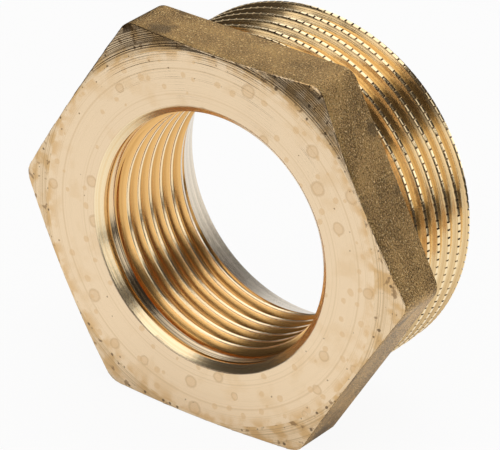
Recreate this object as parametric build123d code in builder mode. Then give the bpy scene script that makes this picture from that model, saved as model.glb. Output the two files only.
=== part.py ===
from build123d import *

import math
import os

# Brass hex reducing bushing for pipe, turned and tapped from one hexagonal blank.
#
# The pipe axis lies along Y. The hexagon's wide face looks towards -Y, the male thread points to +Y,
# and the bushing lies on one flat of its hexagon, so that Z is up. The origin is on the pipe axis,
# in the plane of the shoulder that the hexagon makes behind its thread.

# Hexagon that takes the spanner, in millimetres.
hex_across_flats = 50.0
hex_height = 8.0
hex_corner_radius = 2.3
face_circle_diameter = 49.2
corner_bevel_angle = 13.1

# Both threads are parallel pipe threads of 11 turns to the inch, with 55 degree flanks.
turns_per_inch = 11.0
thread_angle = 55.0

# Male thread, about 1 1/2 inch pipe.
male_crest_diameter = 47.6
male_root_diameter = 44.84
male_crest_land = 0.49
male_length = 14.9
male_end_chamfer = 0.6
relief_depth = 0.12

# Female thread, about 1 inch pipe, bored wide so that its crests are flat.
female_crest_diameter = 31.4
female_root_diameter = 33.3
female_crest_land = 1.1
mouth_diameter = 35.1
mouth_cone_angle = 45.0
end_mouth_diameter = 37.8
end_cone_angle = 25.0

# Where the middle of each groove crosses the shoulder's plane, in degrees from X towards Z.
male_groove_angle = 266.4
female_groove_angle = 226.8

# How far a turned outline stands clear of the metal that it leaves.
tool_clearance = 0.4

# How much of half a crest land a thread cutter's flanks run on past the crest.
flank_run_on = 0.8

pitch = 25.4 / turns_per_inch
flank_slope = math.tan(math.radians(thread_angle / 2))
front_y = -hex_height
end_y = male_length
face_radius = face_circle_diameter / 2
crest_radius = male_crest_diameter / 2
root_radius = male_root_diameter / 2
relief_radius = root_radius - relief_depth
relief_width = pitch
bore_radius = female_crest_diameter / 2
bore_root_radius = female_root_diameter / 2
mouth_radius = mouth_diameter / 2
end_mouth_radius = end_mouth_diameter / 2
end_cone_slope = math.tan(math.radians(end_cone_angle))


def thread_groove(crest, root, land, first_y, last_y, shoulder_angle):
    """The metal that a right-hand thread's cutter takes out, as one solid for each turn.

    The groove lies between the crest and root radii. Its middle starts at first_y, runs to last_y
    or just past it, and crosses the shoulder's plane at shoulder_angle.
    """
    inwards = math.copysign(1, crest - root)
    half_mouth = (pitch - land) / 2
    half_floor = half_mouth - abs(crest - root) * flank_slope
    half_lip = half_mouth + flank_run_on * land / 2
    lip_height = flank_run_on * land / 2 / flank_slope
    turns = []
    start_y = first_y
    while start_y < last_y:
        helix = Edge.make_helix(pitch, pitch, crest, (0, start_y, 0), (0, 1, 0))
        made_angle = math.degrees(math.atan2((helix @ 0).Z, (helix @ 0).X))
        start_angle = shoulder_angle - 360 * start_y / pitch
        helix = helix.rotate(Axis.Y, made_angle - start_angle)
        outwards = Vector((helix @ 0).X, 0, (helix @ 0).Z).normalized()
        across = Plane(helix @ 0, x_dir=outwards, z_dir=outwards.cross(Vector(0, 1, 0)))
        outline = across * Polygon(
            (root - crest, -half_floor),
            (inwards * lip_height, -half_lip),
            (inwards * lip_height, half_lip),
            (root - crest, half_floor),
            align=None,
        )
        turns.append(sweep(outline, path=helix, is_frenet=True))
        start_y += pitch
    return turns


# The male groove starts in the relief and leaves through the end of the shank.
male_groove = thread_groove(
    crest_radius, root_radius, male_crest_land, relief_width / 2, end_y + pitch / 2, male_groove_angle
)

# The female groove starts before the face and runs out where the end cone is as wide as its root.
run_out_y = end_y - (end_mouth_radius - bore_root_radius) / end_cone_slope
female_groove = thread_groove(
    bore_radius,
    bore_root_radius,
    female_crest_land,
    front_y - pitch / 2,
    run_out_y + pitch / 2,
    female_groove_angle,
)

with BuildPart() as hex_bushing:
    # The hexagon stands on one flat, with its corners slightly rounded.
    with BuildSketch(Plane.XZ) as hexagon:
        RegularPolygon(hex_across_flats / 2, 6, major_radius=False)
        fillet(hexagon.vertices(), hex_corner_radius)
    extrude(amount=hex_height)

    # The face is turned flat inside a circle, and the corners fall away behind it.
    bevel_reach = hex_across_flats - face_radius
    bevel_fall = bevel_reach * math.tan(math.radians(corner_bevel_angle))
    with BuildSketch(Plane.XY):
        Polygon(
            (face_radius, front_y),
            (face_radius, front_y - tool_clearance),
            (face_radius + bevel_reach, front_y - tool_clearance),
            (face_radius + bevel_reach, front_y + bevel_fall),
            align=None,
        )
    revolve(axis=Axis.Y, mode=Mode.SUBTRACT)

    # The shank that carries the male thread, with a relief one turn wide against the shoulder.
    relief_floor_y = relief_width - (crest_radius - relief_radius) * flank_slope
    with BuildSketch(Plane.XY):
        Polygon(
            (0, front_y / 2),
            (relief_radius, front_y / 2),
            (relief_radius, relief_floor_y),
            (crest_radius, relief_width),
            (crest_radius, end_y - male_end_chamfer),
            (crest_radius - male_end_chamfer, end_y),
            (0, end_y),
            align=None,
        )
    revolve(axis=Axis.Y)
    add(male_groove, mode=Mode.SUBTRACT)

    # The bore: a cone at the hexagon's face, the thread's crests, and a longer cone at the far end.
    mouth_depth = (mouth_radius - bore_radius) / math.tan(math.radians(mouth_cone_angle))
    end_depth = (end_mouth_radius - bore_radius) / end_cone_slope
    with BuildSketch(Plane.XY):
        Polygon(
            (0, front_y - tool_clearance),
            (mouth_radius, front_y - tool_clearance),
            (mouth_radius, front_y),
            (bore_radius, front_y + mouth_depth),
            (bore_radius, end_y - end_depth),
            (end_mouth_radius, end_y),
            (end_mouth_radius, end_y + tool_clearance),
            (0, end_y + tool_clearance),
            align=None,
        )
    revolve(axis=Axis.Y, mode=Mode.SUBTRACT)
    add(female_groove, mode=Mode.SUBTRACT)

hex_bushing.part.label = "hex_bushing"

os.makedirs("parts", exist_ok=True)
export_step(hex_bushing.part, "parts/hex_bushing.step")
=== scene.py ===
import bmesh
import bpy
import numpy as np
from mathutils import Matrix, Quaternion, Vector


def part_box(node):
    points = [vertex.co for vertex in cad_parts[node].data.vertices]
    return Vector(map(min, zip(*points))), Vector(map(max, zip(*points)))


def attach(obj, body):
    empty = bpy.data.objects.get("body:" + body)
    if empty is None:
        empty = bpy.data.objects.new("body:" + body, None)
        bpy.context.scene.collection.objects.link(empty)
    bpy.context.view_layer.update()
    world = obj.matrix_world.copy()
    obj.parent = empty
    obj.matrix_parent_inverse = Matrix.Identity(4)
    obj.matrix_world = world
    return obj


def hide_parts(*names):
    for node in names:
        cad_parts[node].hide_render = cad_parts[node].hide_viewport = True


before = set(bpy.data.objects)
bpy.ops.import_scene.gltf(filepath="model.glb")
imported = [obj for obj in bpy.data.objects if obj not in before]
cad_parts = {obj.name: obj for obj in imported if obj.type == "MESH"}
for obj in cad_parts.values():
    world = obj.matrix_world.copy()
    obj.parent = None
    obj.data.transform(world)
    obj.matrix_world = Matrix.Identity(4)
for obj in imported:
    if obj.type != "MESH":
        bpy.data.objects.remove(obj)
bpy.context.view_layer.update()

# The blank
# One slice of hexagonal brass bar. Everything below is cut from it, so the whole bushing is a single
# closed skin: rings of points around the pipe axis, listed from the thread's end forwards along the
# outside, across the face and back through the bore.

mm = 0.001
low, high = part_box("hex_bushing")
face_y = low[1]
end_y = high[1]
flat_distance = high[2]

# The pressed nicks set the columns: each nick has one column at either lip and one along its bottom.
nick_count = 141
nick_step = 2 * np.pi / nick_count
first_nick = np.radians(1.09)
nick_half_angle = 0.125 * nick_step
nick_columns = np.array([-nick_half_angle, 0.0, nick_half_angle])
angle = (first_nick + nick_step * np.arange(nick_count)[:, None] + nick_columns).ravel()
angle = np.append(angle, angle[0] + 2 * np.pi)
columns = len(angle)

rings = []
finishes = []
finish_names = []


def add_rings(y, radius, finish, around=None):
    """Adds a ring of points for each row of y and radius. Finish names the surface that follows them."""
    shape = np.broadcast_shapes(np.shape(y), np.shape(radius), (1, columns))
    y, radius = np.broadcast_to(y, shape), np.broadcast_to(radius, shape)
    turned = np.broadcast_to(angle if around is None else around, shape)
    rings.append(np.stack([radius * np.cos(turned), y, radius * np.sin(turned)], axis=-1))
    if finish not in finish_names:
        finish_names.append(finish)
    finishes.extend([finish_names.index(finish)] * shape[0])


def with_crossings(y, first, second):
    """The rows y, and between each two of them a row where the straight lines of two profiles cross.

    The share of the way to the next row is gap / (gap - next gap), or 0 where they don't cross.
    """
    gap = first(y) - second(y)
    crosses = gap[:-1] * gap[1:] < 0
    share = np.where(crosses, gap[:-1] / np.where(crosses, gap[:-1] - gap[1:], 1.0), 0.0)
    return np.sort(np.concatenate([y, y[:-1] + share * (y[1:] - y[:-1])]), axis=0)


# Male thread
# A right-hand pipe thread of 11 turns to the inch, cut behind a narrow relief, with its end chamfered.
# A toothed wheel has pressed small V nicks across all its crests, in straight rows along the pipe.

turns_per_inch = 11
pitch = 25.4 / turns_per_inch * mm
thread_angle = 55
flank_lean = np.radians(thread_angle / 2)
flank_slope = np.tan(flank_lean)
crest_radius = 23.8 * mm
root_radius = 22.42 * mm
crest_land = 0.49 * mm
root_round = 0.31 * mm
crest_round = 0.14 * mm
relief_radius = 22.3 * mm
relief_fillet = 0.12 * mm
end_chamfer = 0.6 * mm
nick_depth = 0.13 * mm
male_crest_turn = 0.24


def thread_profile(crest, root, land, root_round, root_shares, crest_round, crest_shares):
    """Distances from the middle of a groove, and the radius at each: root, flank and flat crest.

    The corners at root and crest are arcs of the radii root_round and crest_round, with points at shares
    of the flank's turn. An arc starts its radius times the tangent of half that turn from the corner.
    """
    flank_turn = np.radians(90 - thread_angle / 2)
    setback = np.tan(flank_turn / 2)
    half_mouth = (pitch - land) / 2
    inwards = np.sign(crest - root)
    floor_end = half_mouth - abs(crest - root) * flank_slope
    root_turn = flank_turn * np.array(root_shares)
    crest_turn = flank_turn * np.array(crest_shares)
    root_places = floor_end + root_round * (np.sin(root_turn) - setback)
    crest_places = half_mouth - crest_round * (np.sin(crest_turn) - setback)
    root_radii = root + inwards * root_round * (1 - np.cos(root_turn))
    crest_radii = crest - inwards * crest_round * (1 - np.cos(crest_turn))
    return np.append(root_places, crest_places), np.append(root_radii, crest_radii)


def thread_radius(y, crest_turn, profile):
    """The thread's radius at y: the profile at the distance from the nearest groove's middle."""
    turns = (y / pitch + angle / (2 * np.pi) - crest_turn) % 1.0
    return np.interp(abs(turns - 0.5) * pitch, *profile)


def thread_rows(first_y, last_y, crest_turn, profile):
    """Rows that follow the helix along every edge of the profile, held between first_y and last_y.

    A row lies at its number of turns, less the column's share of a turn, times the pitch.
    """
    places = np.concatenate([-profile[0], profile[0]]) / pitch + 0.5
    turns = np.arange(np.floor(first_y / pitch) - 2, np.ceil(last_y / pitch) + 3)
    starts = (turns[:, None] + places).ravel() + crest_turn
    rows = (starts[:, None] - angle / (2 * np.pi)) * pitch
    return np.sort(np.clip(rows, first_y, last_y), axis=0)


root_arc_shares = [0.24, 0.52, 1.0]
crest_arc_shares = [1.0, 0.0]
profile_places, profile_radii = thread_profile(
    crest_radius, root_radius, crest_land, root_round, root_arc_shares, crest_round, crest_arc_shares
)

# A row also follows the flank at the depth of the nicks, where they end. It comes after the root's rows.
foot_row = len(root_arc_shares)
nick_foot = pitch / 2 - crest_land / 2 - nick_depth * flank_slope
male_profile = (
    np.insert(profile_places, foot_row, nick_foot),
    np.insert(profile_radii, foot_row, crest_radius - nick_depth),
)
relief_floor_y = pitch - (crest_radius - relief_radius) * flank_slope
nick_share = abs((angle - first_nick + nick_step / 2) % nick_step - nick_step / 2) / nick_half_angle
nick_radius = crest_radius - nick_depth * np.clip(1 - nick_share, 0, 1)


def male_thread_radius(y):
    """The male thread's radius at y, before the relief, the chamfer and the nicks are cut."""
    return thread_radius(y, male_crest_turn, male_profile)


def male_limit(y):
    """The lowest of the relief, the end's chamfer and the nicks, above which the thread is cut away."""
    relief = np.interp(y, [relief_floor_y, pitch], [relief_radius, crest_radius])
    chamfer = crest_radius - np.clip(y - (end_y - end_chamfer), 0, end_chamfer)
    return np.minimum(np.minimum(relief, chamfer), nick_radius)


male_y = thread_rows(0.0, end_y, male_crest_turn, male_profile)
ring_places = np.array([relief_fillet, relief_floor_y, pitch, end_y - end_chamfer])
male_y = np.concatenate([male_y, np.tile(ring_places[:, None], columns)])
male_y = with_crossings(np.sort(male_y, axis=0), male_thread_radius, male_limit)[::-1]
male_radius = np.minimum(male_thread_radius(male_y), male_limit(male_y))
male_radius += np.clip(relief_fillet - male_y, 0, None)
add_rings(male_y, male_radius, "cut_thread")


def feed(tree, node, inputs):
    """Fills a node's inputs. Each is named or numbered, and gets a value or the socket that feeds it."""
    for name, value in inputs.items():
        if isinstance(value, bpy.types.NodeSocket):
            tree.links.new(value, node.inputs[name])
        else:
            node.inputs[name].default_value = value


def add_node(tree, kind, inputs=None, **settings):
    """Adds a node with its settings and inputs to a tree."""
    node = tree.nodes.new("ShaderNode" + kind)
    for name, value in settings.items():
        setattr(node, name, value)
    feed(tree, node, inputs or {})
    return node


def maths(tree, operation, *values):
    """The result of one Math node."""
    return add_node(tree, "Math", dict(enumerate(values)), operation=operation).outputs[0]


def vector_maths(tree, operation, inputs):
    """The result of one Vector Math node."""
    return add_node(tree, "VectorMath", inputs, operation=operation).outputs[0]


def ramp(tree, value, low_end, high_end, to_low=0.0, to_high=1.0):
    """A value carried smoothly from the range low_end..high_end to the range to_low..to_high."""
    inputs = {0: value, 1: low_end, 2: high_end, 3: to_low, 4: to_high}
    return add_node(tree, "MapRange", inputs, interpolation_type="SMOOTHSTEP").outputs[0]


def mix(tree, share, first, second):
    """Two colours mixed by a share."""
    return add_node(tree, "Mix", {0: share, 6: first, 7: second}, data_type="RGBA").outputs[2]


def noise(tree, point, scale, detail=2.0, **settings):
    """The value of one Noise Texture node."""
    inputs = {"Vector": point, "Scale": scale, "Detail": detail}
    return add_node(tree, "TexNoise", inputs, **settings).outputs[0]


def new_group(name, inputs, outputs):
    """An empty node group with its named sockets, and its input and output sockets.

    An input is a number, or None for a vector, and every output is a number.
    """
    tree = bpy.data.node_groups.new(name, "ShaderNodeTree")
    for socket_name, value in inputs.items():
        kind = "NodeSocketVector" if value is None else "NodeSocketFloat"
        socket = tree.interface.new_socket(socket_name, in_out="INPUT", socket_type=kind)
        if value is not None:
            socket.default_value = value
    for socket_name in outputs:
        tree.interface.new_socket(socket_name, in_out="OUTPUT", socket_type="NodeSocketFloat")
    return tree, tree.nodes.new("NodeGroupInput").outputs, tree.nodes.new("NodeGroupOutput").inputs


def use_group(tree, group, inputs):
    """Places a node group in a tree and returns its outputs."""
    node = tree.nodes.new("ShaderNodeGroup")
    node.node_tree = group
    feed(tree, node, inputs)
    return node.outputs


def brass(name, roughness):
    """A bare brass material: its tree, its shader and the point on the object."""
    material = bpy.data.materials.new(name)
    material.use_nodes = True
    tree = material.node_tree
    shader = tree.nodes["Principled BSDF"]
    shader.inputs["Metallic"].default_value = 1.0
    shader.inputs["Roughness"].default_value = roughness
    return tree, shader, add_node(tree, "TexCoord").outputs["Object"]


def bumped(tree, shader, height, distance):
    """Feeds a height of 0 to 1, which stands for a distance in metres, to the shader's normal."""
    bump = add_node(tree, "Bump", {"Height": height, "Distance": distance})
    tree.links.new(bump.outputs[0], shader.inputs["Normal"])


# Where a point lies: its distance from the pipe axis and along it in millimetres, and its turn.
pipe_place, ends_in, ends_out = new_group("pipe place", {"Point": None}, ["Radius", "Along", "Turn"])
in_mm = vector_maths(pipe_place, "SCALE", {0: ends_in["Point"], "Scale": 1 / mm})
axes = add_node(pipe_place, "SeparateXYZ", {0: in_mm}).outputs
upright_square = maths(pipe_place, "MULTIPLY", axes[2], axes[2])
squares = maths(pipe_place, "MULTIPLY_ADD", axes[0], axes[0], upright_square)
around = maths(pipe_place, "ARCTAN2", axes[2], axes[0])
pipe_place.links.new(maths(pipe_place, "SQRT", squares), ends_out["Radius"])
pipe_place.links.new(axes[1], ends_out["Along"])
pipe_place.links.new(maths(pipe_place, "DIVIDE", around, 2 * np.pi), ends_out["Turn"])

# Marks of a threading tool: every turn carries the same fine lines, so the noise is read on a circle
# that is one pitch around. Place is 0 at the crest's middle and 1 at the groove's. Height is for the
# bump, and Tone for the colour.
thread_marks, ends_in, ends_out = new_group(
    "thread marks", {"Point": None, "Crest turn": 0.0, "Per mm": 5.0}, ["Place", "Height", "Tone"]
)
place = use_group(thread_marks, pipe_place, {"Point": ends_in["Point"]})
turns = maths(thread_marks, "MULTIPLY_ADD", place["Along"], mm / pitch, place["Turn"])
turns = maths(thread_marks, "SUBTRACT", turns, ends_in["Crest turn"])
turns = maths(thread_marks, "MULTIPLY", turns, 2 * np.pi)
towards_crest = maths(thread_marks, "COSINE", turns)
circle_radius = pitch / mm / (2 * np.pi)
circle_x = maths(thread_marks, "MULTIPLY", towards_crest, circle_radius)
circle_y = maths(thread_marks, "MULTIPLY", maths(thread_marks, "SINE", turns), circle_radius)
on_circle = add_node(thread_marks, "CombineXYZ", {0: circle_x, 1: circle_y}).outputs[0]
fine = noise(thread_marks, on_circle, ends_in["Per mm"], detail=3.0, noise_dimensions="2D")
broad = noise(thread_marks, on_circle, scale=1.6, detail=1.0, noise_dimensions="2D")
patch = noise(thread_marks, ends_in["Point"], scale=240.0)
depth = ramp(thread_marks, patch, 0.35, 0.65, 0.5, 1.0)
place_across = maths(thread_marks, "MULTIPLY_ADD", towards_crest, -0.5, 0.5)
broad_part = maths(thread_marks, "MULTIPLY", broad, 0.4)
fine_part = maths(thread_marks, "MULTIPLY", fine, 0.6)
thread_marks.links.new(place_across, ends_out["Place"])
thread_marks.links.new(maths(thread_marks, "MULTIPLY", fine, depth), ends_out["Height"])
thread_marks.links.new(maths(thread_marks, "ADD", broad_part, fine_part), ends_out["Tone"])

# The cutter left streaks along the flanks. The grooves' bottoms are painted browner and the nicks dark
# brown, as painted shade.
streak_brown = (0.66, 0.43, 0.19, 1)
cut_gold = (1.0, 0.79, 0.47, 1)
groove_shade_brown = (0.42, 0.25, 0.09, 1)
nick_shade_brown = (0.17, 0.10, 0.045, 1)
cut_roughness = 0.16
crest_smoother_by = 0.04
crest_in_mm = crest_radius / mm
tree, shader, point = brass("cut_thread", cut_roughness)
place = use_group(tree, pipe_place, {"Point": point})
marks = use_group(tree, thread_marks, {"Point": point, "Crest turn": male_crest_turn, "Per mm": 2.6})
colour = mix(tree, ramp(tree, marks["Tone"], 0.42, 0.58), streak_brown, cut_gold)
# Painted shade: the grooves' bottoms are browned towards their middle.
painted_groove_shade = ramp(tree, marks["Place"], 0.60, 0.80, 0.0, 0.25)
colour = mix(tree, painted_groove_shade, colour, groove_shade_brown)
on_crest = ramp(tree, place["Radius"], crest_in_mm - 0.08, crest_in_mm - 0.02)
colour = mix(tree, on_crest, colour, cut_gold)

# The place within a step is 0.5 at a nick's middle. The whole steps keep it above 0.
whole_steps = 1000
nick_place = maths(tree, "SUBTRACT", place["Turn"], first_nick / (2 * np.pi))
nick_place = maths(tree, "MULTIPLY_ADD", nick_place, nick_count, whole_steps + 0.5)
off_nick = maths(tree, "SUBTRACT", maths(tree, "FRACT", nick_place), 0.5)
# Painted shade: the nicks are darkened to brown.
painted_nick_shade = ramp(tree, maths(tree, "ABSOLUTE", off_nick), 0.08, 0.13, 1.0, 0.0)
above_foot = ramp(tree, place["Radius"], crest_in_mm - 0.16, crest_in_mm - 0.10)
painted_nick_shade = maths(tree, "MULTIPLY", painted_nick_shade, above_foot)
colour = mix(tree, maths(tree, "MULTIPLY", painted_nick_shade, 0.9), colour, nick_shade_brown)
tree.links.new(colour, shader.inputs["Base Color"])
roughness = maths(tree, "MULTIPLY_ADD", on_crest, -crest_smoother_by, cut_roughness)
tree.links.new(roughness, shader.inputs["Roughness"])
bumped(tree, shader, marks["Height"], 0.05 * mm)

# The hexagon
# The part of the bar that is left whole for the spanner. Its six flats keep the rough skin of the
# blasted bar, and its corners were bevelled when the face was turned.

corner_radius = 2.3 * mm
face_circle_radius = 24.6 * mm
bevel_slope = np.tan(np.radians(13.1))
edge_break = 0.16 * mm
edge_wear = np.random.default_rng(7).uniform(0.3, 1.7, columns)
edge_wear[-1] = edge_wear[0]

# The columns crowd towards the six corners, where the outline turns.
corner_crowding = 0.11
corner_angle = angle - corner_crowding * np.sin(6 * angle)


def hexagon_radius(around):
    """Distance from the axis to a hexagon's outline, whose corners are arcs of corner_radius.

    On a flat it is flat_distance over the cosine of the turn from the flat's middle. At a corner it is the
    far side of a circle whose centre lies on the corner's line.
    """
    off_corner = np.pi / 6 - abs(around % (np.pi / 3) - np.pi / 6)
    centre = (flat_distance - corner_radius) / np.cos(np.pi / 6)
    across = centre * np.sin(off_corner)
    arc = centre * np.cos(off_corner) + np.sqrt(np.clip(corner_radius**2 - across**2, 0, None))
    arc_end = np.arctan2(corner_radius / 2, centre + corner_radius * np.cos(np.pi / 6))
    return np.where(off_corner < arc_end, arc, flat_distance / np.cos(np.pi / 6 - off_corner))


outline = hexagon_radius(corner_angle)
bevel_edge_y = face_y + (outline - face_circle_radius) * bevel_slope

shoulder_spread = np.linspace(0, 1, 4)[:, None]
shoulder_reach = male_radius[-1] + shoulder_spread * (outline - edge_break - male_radius[-1])
shoulder_around = angle + shoulder_spread * (corner_angle - angle)
add_rings(0.0, shoulder_reach, "turned_face", shoulder_around)

flat_y = np.linspace(-edge_break, bevel_edge_y + edge_wear * edge_break, 7)
add_rings(flat_y, outline, "blasted_flat", corner_angle)
edge_step = 0.3 * edge_break
add_rings(bevel_edge_y + edge_step, outline - edge_step, "bevel", corner_angle)

bevel_spread = np.linspace(0, 1, 5)[:, None]
bevel_radius = outline - edge_break - bevel_spread * (outline - edge_break - face_circle_radius)
bevel_y = face_y + (bevel_radius - face_circle_radius) * bevel_slope
bevel_around = corner_angle + bevel_spread * (angle - corner_angle)
add_rings(bevel_y[:-1], bevel_radius[:-1], "bevel", bevel_around[:-1])

# Blasted skin: hollows that hold brown oxide, bright crowns that catch the light, and some smudges.
hollow_brown = (0.16, 0.095, 0.036, 1)
skin_brown = (0.62, 0.39, 0.15, 1)
crown_gold = (0.95, 0.72, 0.36, 1)
smudge_brown = (0.10, 0.07, 0.04, 1)
tree, shader, point = brass("blasted_flat", 0.42)
grain = noise(tree, point, scale=5600.0, detail=3.0)
cloud = noise(tree, point, scale=230.0, detail=4.0)
fleck = noise(tree, point, scale=4300.0, detail=1.0)
level = maths(tree, "MULTIPLY_ADD", cloud, 0.35, maths(tree, "MULTIPLY", grain, 0.9))
colour = mix(tree, ramp(tree, level, 0.48, 0.74), hollow_brown, skin_brown)
colour = mix(tree, ramp(tree, fleck, 0.62, 0.72), colour, crown_gold)
smudge = ramp(tree, noise(tree, point, scale=150.0, detail=3.0), 0.60, 0.70)
colour = mix(tree, maths(tree, "MULTIPLY", smudge, 0.6), colour, smudge_brown)
tree.links.new(colour, shader.inputs["Base Color"])
bumped(tree, shader, grain, 0.12 * mm)


def noise_along(tree, place, scale):
    """The value of a Noise Texture node that changes along one direction only."""
    return add_node(tree, "TexNoise", {"W": place, "Scale": scale}, noise_dimensions="1D").outputs[0]


# Turning marks: rings that a lathe tool leaves, as noise that changes only across the feed.
turning_marks, ends_in, ends_out = new_group(
    "turning marks", {"Point": None, "Across": 0.0, "Per mm": 6.0, "Seed": 0.0}, ["Height", "Tone"]
)
tool_travel = maths(turning_marks, "MULTIPLY_ADD", ends_in["Across"], ends_in["Per mm"], ends_in["Seed"])
fine = noise_along(turning_marks, tool_travel, scale=1.0)
broad = noise_along(turning_marks, tool_travel, scale=0.2)
patch = noise(turning_marks, ends_in["Point"], scale=130.0)
depth = ramp(turning_marks, patch, 0.35, 0.65, 0.3, 1.0)
broad_part = maths(turning_marks, "MULTIPLY", broad, 0.5)
fine_part = maths(turning_marks, "MULTIPLY", fine, 0.5)
turning_marks.links.new(maths(turning_marks, "MULTIPLY", fine, depth), ends_out["Height"])
turning_marks.links.new(maths(turning_marks, "ADD", broad_part, fine_part), ends_out["Tone"])

# Round marks: spots of random size, at most one to a cell. Ring is a spot's rim and Disc its whole.
round_marks, ends_in, ends_out = new_group(
    "round marks",
    {"Point": None, "Cell mm": 4.0, "Smallest mm": 0.2, "Largest mm": 0.8, "Share": 0.6, "Seed": 0.0},
    ["Ring", "Disc"],
)
flat_axes = add_node(round_marks, "SeparateXYZ", {0: ends_in["Point"]}).outputs
across_x = maths(round_marks, "ADD", flat_axes[0], ends_in["Seed"])
across_face = add_node(round_marks, "CombineXYZ", {0: across_x, 1: flat_axes[2]}).outputs[0]
across_mm = vector_maths(round_marks, "SCALE", {0: across_face, "Scale": 1 / mm})
wobble = add_node(round_marks, "TexNoise", {"Vector": across_mm, "Scale": 1.1}).outputs[1]
wobble = vector_maths(round_marks, "SUBTRACT", {0: wobble, 1: (0.5, 0.5, 0.5)})
wobble = vector_maths(round_marks, "SCALE", {0: wobble, "Scale": 0.4})
wobbled = vector_maths(round_marks, "ADD", {0: across_mm, 1: wobble})
per_mm = maths(round_marks, "DIVIDE", 1.0, ends_in["Cell mm"])
cell_inputs = {"Vector": wobbled, "Scale": per_mm}
cells = add_node(round_marks, "TexVoronoi", cell_inputs, voronoi_dimensions="2D").outputs
chance = add_node(round_marks, "SeparateColor", {0: cells["Color"]}).outputs
away = maths(round_marks, "MULTIPLY", cells["Distance"], ends_in["Cell mm"])
spread = maths(round_marks, "SUBTRACT", ends_in["Largest mm"], ends_in["Smallest mm"])
size = maths(round_marks, "MULTIPLY_ADD", chance[0], spread, ends_in["Smallest mm"])
there = maths(round_marks, "LESS_THAN", chance[1], ends_in["Share"])
off_rim = maths(round_marks, "DIVIDE", maths(round_marks, "SUBTRACT", away, size), size)
rim_mark = ramp(round_marks, maths(round_marks, "ABSOLUTE", off_rim), 0.05, 0.3, 1.0, 0.0)
disc_mark = ramp(round_marks, off_rim, -0.15, 0.1, 1.0, 0.0)
round_marks.links.new(maths(round_marks, "MULTIPLY", rim_mark, there), ends_out["Ring"])
round_marks.links.new(maths(round_marks, "MULTIPLY", disc_mark, there), ends_out["Disc"])


def spots(tree, point, cell, smallest, largest, share, seed):
    """Places the round marks in a tree. Cell, smallest and largest are in millimetres, seed in metres."""
    sizes = {"Cell mm": cell, "Smallest mm": smallest, "Largest mm": largest}
    return use_group(tree, round_marks, {"Point": point, **sizes, "Share": share, "Seed": seed})


# Bevels: turned with the face, but stained orange along the edges and pitted.
bevel_tan = (0.84, 0.64, 0.41, 1)
stain_orange = (0.70, 0.46, 0.22, 1)
ring_brown = (0.42, 0.27, 0.12, 1)
oxide_brown = (0.28, 0.17, 0.08, 1)
bevel_pit_brown = (0.16, 0.10, 0.05, 1)
tree, shader, point = brass("bevel", 0.22)
place = use_group(tree, pipe_place, {"Point": point})
ring_inputs = {"Point": point, "Across": place["Radius"], "Per mm": 4.6, "Seed": 29.0}
marks = use_group(tree, turning_marks, ring_inputs)
pits = spots(tree, point, cell=1.3, smallest=0.08, largest=0.26, share=0.35, seed=0.003)
stain = ramp(tree, noise(tree, point, scale=420.0, detail=5.0), 0.42, 0.62)
colour = mix(tree, stain, bevel_tan, stain_orange)
lines = maths(tree, "MULTIPLY", ramp(tree, marks["Tone"], 0.5, 0.62), 0.5)
colour = mix(tree, lines, colour, ring_brown)
oxide = ramp(tree, noise(tree, point, scale=900.0, detail=4.0), 0.60, 0.68)
colour = mix(tree, maths(tree, "MULTIPLY", oxide, 0.75), colour, oxide_brown)
colour = mix(tree, maths(tree, "MULTIPLY", pits["Disc"], 0.85), colour, bevel_pit_brown)
tree.links.new(colour, shader.inputs["Base Color"])
bumped(tree, shader, marks["Height"], 0.03 * mm)

# Face and mouth
# The wide face is turned flat in one light cut, and its mouth is opened with a 45 degree cone. Drops
# of water have dried on it and left tan rings.

mouth_radius = 17.55 * mm
mouth_break = 0.08 * mm
face_spread = np.linspace(0, 1, 8)[:, None]
face_radius = face_circle_radius + face_spread * (mouth_radius + mouth_break - face_circle_radius)
add_rings(face_y, face_radius, "turned_face")

face_cream = (0.89, 0.69, 0.46, 1)
tarnish_tan = (0.78, 0.545, 0.30, 1)
rim_orange = (0.72, 0.46, 0.21, 1)
line_brown = (0.62, 0.42, 0.22, 1)
drop_tan = (0.72, 0.48, 0.25, 1)
drop_rim_brown = (0.50, 0.31, 0.14, 1)
freckle_tan = (0.74, 0.49, 0.25, 1)
face_pit_brown = (0.26, 0.16, 0.08, 1)
tree, shader, point = brass("turned_face", 0.24)
place = use_group(tree, pipe_place, {"Point": point})
ring_inputs = {"Point": point, "Across": place["Radius"], "Per mm": 5.0, "Seed": 11.0}
marks = use_group(tree, turning_marks, ring_inputs)
drops = spots(tree, point, cell=5.2, smallest=0.45, largest=0.9, share=0.55, seed=0.0)
freckles = spots(tree, point, cell=2.3, smallest=0.18, largest=0.5, share=0.5, seed=0.011)
pits = spots(tree, point, cell=2.6, smallest=0.05, largest=0.13, share=0.22, seed=0.007)
tarnish = ramp(tree, noise(tree, point, scale=300.0, detail=5.0), 0.5, 0.72)
colour = mix(tree, maths(tree, "MULTIPLY", tarnish, 0.45), face_cream, tarnish_tan)
rim_in_mm = face_circle_radius / mm
near_rim = ramp(tree, place["Radius"], rim_in_mm - 1.8, rim_in_mm + 0.1)
rim_patches = ramp(tree, noise(tree, point, scale=500.0, detail=4.0), 0.4, 0.62)
rim_tint = maths(tree, "MULTIPLY", near_rim, rim_patches)
colour = mix(tree, maths(tree, "MULTIPLY", rim_tint, 0.8), colour, rim_orange)
lines = maths(tree, "MULTIPLY", ramp(tree, marks["Tone"], 0.52, 0.66), 0.32)
colour = mix(tree, lines, colour, line_brown)
colour = mix(tree, maths(tree, "MULTIPLY", drops["Disc"], 0.4), colour, drop_tan)
colour = mix(tree, maths(tree, "MULTIPLY", drops["Ring"], 0.32), colour, drop_rim_brown)
colour = mix(tree, maths(tree, "MULTIPLY", freckles["Disc"], 0.5), colour, freckle_tan)
colour = mix(tree, maths(tree, "MULTIPLY", pits["Disc"], 0.8), colour, face_pit_brown)
tree.links.new(colour, shader.inputs["Base Color"])
bumped(tree, shader, marks["Height"], 0.045 * mm)

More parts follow.
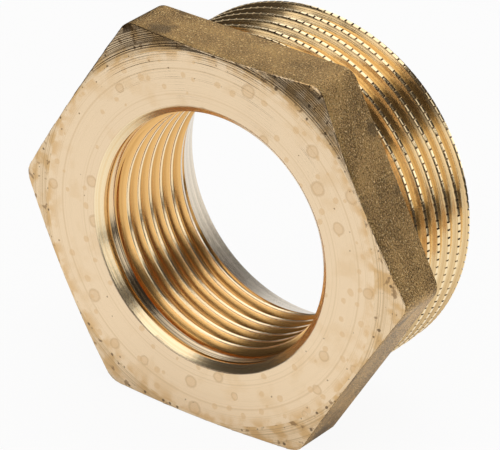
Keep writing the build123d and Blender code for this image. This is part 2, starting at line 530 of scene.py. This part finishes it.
# Bore
# The female thread, for a smaller pipe, with narrow crests and rounded roots. Both ends open in cones.
# A plain turned band lies behind the mouth's cone, and the grooves run out through the far end's cone.

bore_radius = 15.7 * mm
bore_root_radius = 16.65 * mm
bore_land = 0.5 * mm
bore_root_round = 0.25 * mm
bore_crest_round = 0.1 * mm
band_radius = 16.45 * mm
band_length = 2.9 * mm
band_end_slope = 1.7
bore_crest_turn = 0.13
end_mouth_radius = 18.9 * mm
end_cone_slope = np.tan(np.radians(25))
bore_root_arc_shares = [0.0, 0.5, 1.0]
bore_profile = thread_profile(
    bore_radius,
    bore_root_radius,
    bore_land,
    bore_root_round,
    bore_root_arc_shares,
    bore_crest_round,
    crest_arc_shares,
)


def bore_thread_radius(y):
    """The female thread's radius at y, before the cones and the band are cut."""
    return thread_radius(y, bore_crest_turn, bore_profile)


def bore_limit(y):
    """The widest of the mouth's cone, the plain band behind it and the far end's cone."""
    mouth_cone = mouth_radius - (y - face_y)
    band = band_radius - np.clip(y - face_y - band_length, 0, None) * band_end_slope
    end_cone = end_mouth_radius - (end_y - y) * end_cone_slope
    return np.maximum(np.maximum(mouth_cone, band), end_cone)


bore_y = thread_rows(face_y + mouth_break, end_y, bore_crest_turn, bore_profile)
ring_places = face_y + np.array([mouth_radius - band_radius, band_length])
bore_y = np.sort(np.concatenate([bore_y, np.tile(ring_places[:, None], columns)]), axis=0)
bore_y = with_crossings(bore_y, bore_thread_radius, bore_limit)
bore_wall = np.maximum(bore_thread_radius(bore_y), bore_limit(bore_y))
add_rings(bore_y, bore_wall, "bore")

# How far a point lies off the two cones and off the band, in millimetres.
tree, shader, point = brass("bore", 0.22)
place = use_group(tree, pipe_place, {"Point": point})
mouth_cone_sum = (mouth_radius + face_y) / mm
end_cone_start = end_mouth_radius / mm - end_y / mm * end_cone_slope
band_end = (face_y + band_length) / mm
radius_and_along = maths(tree, "ADD", place["Radius"], place["Along"])
off_mouth_cone = maths(tree, "SUBTRACT", mouth_cone_sum, radius_and_along)
off_mouth_cone = maths(tree, "ABSOLUTE", off_mouth_cone)
off_end_cone = maths(tree, "MULTIPLY_ADD", place["Along"], -end_cone_slope, place["Radius"])
off_end_cone = maths(tree, "SUBTRACT", off_end_cone, end_cone_start)
off_end_cone = maths(tree, "ABSOLUTE", off_end_cone)
off_cone = maths(tree, "MINIMUM", off_mouth_cone, off_end_cone)
on_cone = ramp(tree, off_cone, 0.02, 0.05, 1.0, 0.0)
off_band = maths(tree, "ABSOLUTE", maths(tree, "SUBTRACT", place["Radius"], band_radius / mm))
before_band_end = ramp(tree, place["Along"], band_end, band_end + 0.1, 1.0, 0.0)
on_band = maths(tree, "MULTIPLY", ramp(tree, off_band, 0.02, 0.05, 1.0, 0.0), before_band_end)

# The thread is cream on its crests, and from there deepens from gold to brown at its roots, where the
# brown is painted shade.
crest_cream = (1.0, 0.80, 0.50, 1)
flank_golds = [(0.88, 0.51, 0.18, 1), (0.95, 0.61, 0.26, 1)]
root_shade_browns = [(0.62, 0.33, 0.10, 1), (0.80, 0.46, 0.16, 1)]
bore_in_mm = bore_radius / mm
marks = use_group(tree, thread_marks, {"Point": point, "Crest turn": bore_crest_turn, "Per mm": 4.0})
tone = ramp(tree, marks["Tone"], 0.36, 0.64)
flank_colour = mix(tree, tone, *flank_golds)
root_shade_colour = mix(tree, tone, *root_shade_browns)
# Painted shade: the colour browns towards the roots, deep in the grooves.
painted_root_shade = ramp(tree, place["Radius"], bore_in_mm + 0.2, bore_in_mm + 0.8)
colour = mix(tree, painted_root_shade, flank_colour, root_shade_colour)
on_crest = ramp(tree, place["Radius"], bore_in_mm + 0.04, bore_in_mm + 0.14, 1.0, 0.0)
colour = mix(tree, on_crest, colour, crest_cream)

# The cones and the band carry turning rings where the thread carries a helix. The mouth's cone is gold,
# the far end's greyer, and the band's low side is painted dark as shade, with its turning lines.
mouth_golds = [(0.95, 0.73, 0.43, 1), (1.0, 0.83, 0.55, 1)]
end_greys = [(0.66, 0.55, 0.40, 1), (0.82, 0.70, 0.53, 1)]
band_shade_darks = [(0.28, 0.21, 0.13, 1), (0.70, 0.55, 0.36, 1)]
band_gold = (0.92, 0.68, 0.40, 1)
ring_inputs = {"Point": point, "Across": place["Along"], "Per mm": 5.0, "Seed": 5.0}
rings_cut = use_group(tree, turning_marks, ring_inputs)
ring_tone = ramp(tree, rings_cut["Tone"], 0.36, 0.64)
mouth_colour = mix(tree, ring_tone, *mouth_golds)
end_colour = mix(tree, ring_tone, *end_greys)
past_middle = ramp(tree, place["Along"], 0.0, 1.0)
cone_colour = mix(tree, past_middle, mouth_colour, end_colour)
low_shade_colour = mix(tree, ramp(tree, rings_cut["Tone"], 0.42, 0.58), *band_shade_darks)
# Painted shade: the band is darkened on its lower side.
height_in_bore = add_node(tree, "SeparateXYZ", {0: point}).outputs[2]
painted_shade_low_side = ramp(tree, height_in_bore, -4.5 * mm, -1.5 * mm, 1.0, 0.0)
band_colour = mix(tree, painted_shade_low_side, band_gold, low_shade_colour)
colour = mix(tree, on_band, mix(tree, on_cone, colour, cone_colour), band_colour)
tree.links.new(colour, shader.inputs["Base Color"])
on_rings = maths(tree, "MAXIMUM", on_cone, on_band)
heights = {0: on_rings, 2: marks["Height"], 3: rings_cut["Height"]}
bumped(tree, shader, add_node(tree, "Mix", heights).outputs[0], 0.012 * mm)

# The thread's end is faced off flat, which closes the skin on the ring that it started from.
end_spread = np.linspace(0, 1, 3)[:, None]
add_rings(end_y, end_mouth_radius + end_spread * (male_radius[0] - end_mouth_radius), "turned_face")

# Skin
# The rings are joined into one closed mesh. Rings that meet, as where a groove runs out through a
# cone, are merged, and faces without area go.

points = np.concatenate(rings)
number = np.arange(len(points) * columns).reshape(len(points), columns)
quads = np.stack([number[:-1, :-1], number[1:, :-1], number[1:, 1:], number[:-1, 1:]], axis=-1)
smallest_step = 0.004 * mm

skin = bpy.data.meshes.new("hex_bushing_body")
skin.from_pydata(points.reshape(-1, 3), [], quads.reshape(-1, 4))
for name in finish_names:
    skin.materials.append(bpy.data.materials[name])
skin.polygons.foreach_set("material_index", np.repeat(np.array(finishes[:-1], np.int32), columns - 1))
skin.polygons.foreach_set("use_smooth", np.ones(len(skin.polygons), bool))
welded = bmesh.new()
welded.from_mesh(skin)
bmesh.ops.remove_doubles(welded, verts=welded.verts, dist=smallest_step)
bmesh.ops.recalc_face_normals(welded, faces=welded.faces)
welded.to_mesh(skin)
welded.free()
skin.set_sharp_from_angle(angle=np.radians(25))


def values_of(items, name, width=1, kind=float):
    """One value of each of a mesh's items as an array, or one row of values where width is over 1."""
    values = np.empty(len(items) * width, kind)
    items.foreach_get(name, values)
    return values.reshape(-1, width).squeeze()


# The unequal columns would tilt the smooth shading of the male thread at every nick. Its faces below the
# nicks, between the relief and the chamfer, therefore get normals worked out at each of their corners.
shaded_normal = values_of(skin.corner_normals, "vector", 3)
corner_vertex = values_of(skin.loops, "vertex_index", kind=np.int32)
corner_point = values_of(skin.vertices, "co", 3)[corner_vertex]
distance_out = np.hypot(corner_point[:, 0], corner_point[:, 2])
first_corner = values_of(skin.polygons, "loop_start", kind=np.int32)
corner_count = values_of(skin.polygons, "loop_total", kind=np.int32)
surface = values_of(skin.polygons, "material_index", kind=np.int32)
nick_foot_radius = crest_radius - nick_depth
chamfer_y = end_y - end_chamfer
in_thread = surface == finish_names.index("cut_thread")
in_thread &= np.maximum.reduceat(distance_out, first_corner) < nick_foot_radius + smallest_step
in_thread &= np.minimum.reduceat(corner_point[:, 1], first_corner) > pitch - smallest_step
in_thread &= np.maximum.reduceat(corner_point[:, 1], first_corner) < chamfer_y + smallest_step
in_thread = np.repeat(in_thread, corner_count)

# A normal leans out and along the axis by the flank's own angle where the flank is straight, and as it
# is shaded in the rounded root. It leans around the axis by its lean along it, times the helix's rise.
flank_start_radius = male_profile[1][foot_row - 1]
straight = in_thread & (distance_out > flank_start_radius - smallest_step)
outwards = corner_point * [1, 0, 1] / distance_out[:, None]
onwards = np.cross([0, -1, 0], outwards)
lean_out = np.where(straight, np.sin(flank_lean), (shaded_normal * outwards).sum(axis=1))
lean_along = np.where(straight, np.sign(shaded_normal[:, 1]) * np.cos(flank_lean), shaded_normal[:, 1])
lean_around = lean_along * pitch / (2 * np.pi * distance_out)
helix_normal = lean_out[:, None] * outwards + lean_along[:, None] * [0, 1, 0]
helix_normal += lean_around[:, None] * onwards
helix_normal /= np.linalg.norm(helix_normal, axis=1)[:, None]
skin.normals_split_custom_set(np.where(in_thread[:, None], helix_normal, shaded_normal))

body = bpy.data.objects.new("hex_bushing_body", skin)
bpy.context.collection.objects.link(body)
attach(body, "root")
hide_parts("hex_bushing")

# Table and light
# A round white table top in a dim room, with soft lamps above, behind and on both sides of it. The
# brass mirrors them, and shows the gaps between them as its dark bands.

table_radius = 200 * mm
table_x = -40 * mm
table_y = -80 * mm
rim_corners = 96
table_mesh = bpy.data.meshes.new("table_top")
rim = np.linspace(0, 2 * np.pi, rim_corners, endpoint=False)
rim_x = table_x + table_radius * np.cos(rim)
rim_y = table_y + table_radius * np.sin(rim)
rim_points = np.stack([rim_x, rim_y, 0 * rim + low[2]], axis=-1)
table_mesh.from_pydata(rim_points, [], [list(range(rim_corners))])
table = bpy.data.objects.new("table_top", table_mesh)
bpy.context.collection.objects.link(table)

# The paper glows to the camera, so that it looks as white as the background, and a little in the brass's
# mirrored view of it, except close under the bushing. Everything else sees plain matt paper.
paper_white = (0.92, 0.92, 0.92, 1)
glow_seen = 0.93
glow_mirrored = 0.85
under_bushing = 18 * mm
paper = bpy.data.materials.new("white_paper")
paper.use_nodes = True
tree = paper.node_tree
tree.nodes.remove(tree.nodes["Principled BSDF"])
matt = add_node(tree, "BsdfDiffuse", {"Color": paper_white})
glow = add_node(tree, "Emission", {"Color": (1, 1, 1, 1), "Strength": 1.0})
path = add_node(tree, "LightPath").outputs
seen = maths(tree, "MAXIMUM", path["Is Camera Ray"], path["Is Transmission Ray"])
open_above = add_node(tree, "AmbientOcclusion", {"Distance": under_bushing}, samples=8).outputs["AO"]
open_glow = maths(tree, "MULTIPLY", open_above, glow_mirrored)
mirrored = maths(tree, "MULTIPLY", path["Is Glossy Ray"], open_glow)
glow_share = maths(tree, "MULTIPLY_ADD", seen, glow_seen, mirrored)
lit = add_node(tree, "MixShader", {0: glow_share, 1: matt.outputs[0], 2: glow.outputs[0]})
tree.links.new(lit.outputs[0], tree.nodes["Material Output"].inputs["Surface"])
table_mesh.materials.append(paper)

# The room's walls are dim, and white to the camera only.
wall_dim = (0.055, 0.048, 0.042, 1)
wall_seen = (0.97, 0.97, 0.97, 1)
room = bpy.data.worlds.new("dim_room")
bpy.context.scene.world = room
room.use_nodes = True
tree = room.node_tree
path = add_node(tree, "LightPath").outputs
seen = maths(tree, "MAXIMUM", path["Is Camera Ray"], path["Is Transmission Ray"])
wall = mix(tree, seen, wall_dim, wall_seen)
tree.links.new(wall, tree.nodes["Background"].inputs["Color"])


def direction(azimuth, elevation):
    """The unit vector towards an azimuth, counted from the front to the right, and an elevation."""
    turn, lift = np.radians(azimuth), np.radians(elevation)
    return Vector((np.sin(turn) * np.cos(lift), -np.cos(turn) * np.cos(lift), np.sin(lift)))


def softbox(name, azimuth, elevation, width, height, brightness):
    """A rectangular lamp 1 m from the bushing. Its power is pi times its area times its brightness."""
    lamp = bpy.data.lights.new(name, "AREA")
    lamp.shape = "RECTANGLE"
    lamp.size = width
    lamp.size_y = height
    lamp.energy = np.pi * width * height * brightness
    way = direction(azimuth, elevation)
    lamp_object = bpy.data.objects.new(name, lamp)
    lamp_object.location = way
    lamp_object.rotation_euler = way.to_track_quat("Z", "Y").to_euler()
    bpy.context.collection.objects.link(lamp_object)


# Azimuth and elevation in degrees, width and height in metres, and brightness.
softbox("overhead_softbox", 0, 80, 1.0, 1.9, 1.2)
softbox("back_softbox", 200, 33, 0.95, 0.5, 1.4)
softbox("back_paper", 168, 3, 0.4, 0.3, 1.9)
softbox("back_right_strip", 141, 8, 0.2, 0.36, 1.45)
softbox("right_back_panel", 110, 16, 0.46, 0.58, 0.9)
softbox("front_right_strip", 47, 13, 0.19, 0.52, 1.2)
softbox("front_softbox", -18, 20, 0.70, 0.21, 1.45)
softbox("low_front_strip", 17, -4, 0.34, 0.38, 1.15)
softbox("right_reflector", 78, 34, 0.5, 0.5, 0.8)
softbox("left_reflector", -103, 30, 0.3, 0.7, 0.35)

# Camera
# It looks down on the bushing from the front right through a long lens, as the photograph does.

view_azimuth = 33.80
view_elevation = 27.01
view_roll = 3.15
view_distance = 597.0 * mm
view_centre = Vector((0.70, 0.04, -0.70)) * mm
focal_length = 347.06

lens = bpy.data.cameras.new("camera")
lens.sensor_width = 36.0
lens.lens = focal_length
lens.clip_start = 0.01
camera = bpy.data.objects.new("camera", lens)
backwards = direction(view_azimuth, view_elevation)
camera.location = view_centre + backwards * view_distance
camera.rotation_mode = "QUATERNION"
roll = Quaternion((0, 0, 1), np.radians(view_roll))
camera.rotation_quaternion = backwards.to_track_quat("Z", "Y") @ roll
bpy.context.collection.objects.link(camera)
bpy.context.scene.camera = camera
bpy.context.scene.view_settings.view_transform = "Standard"
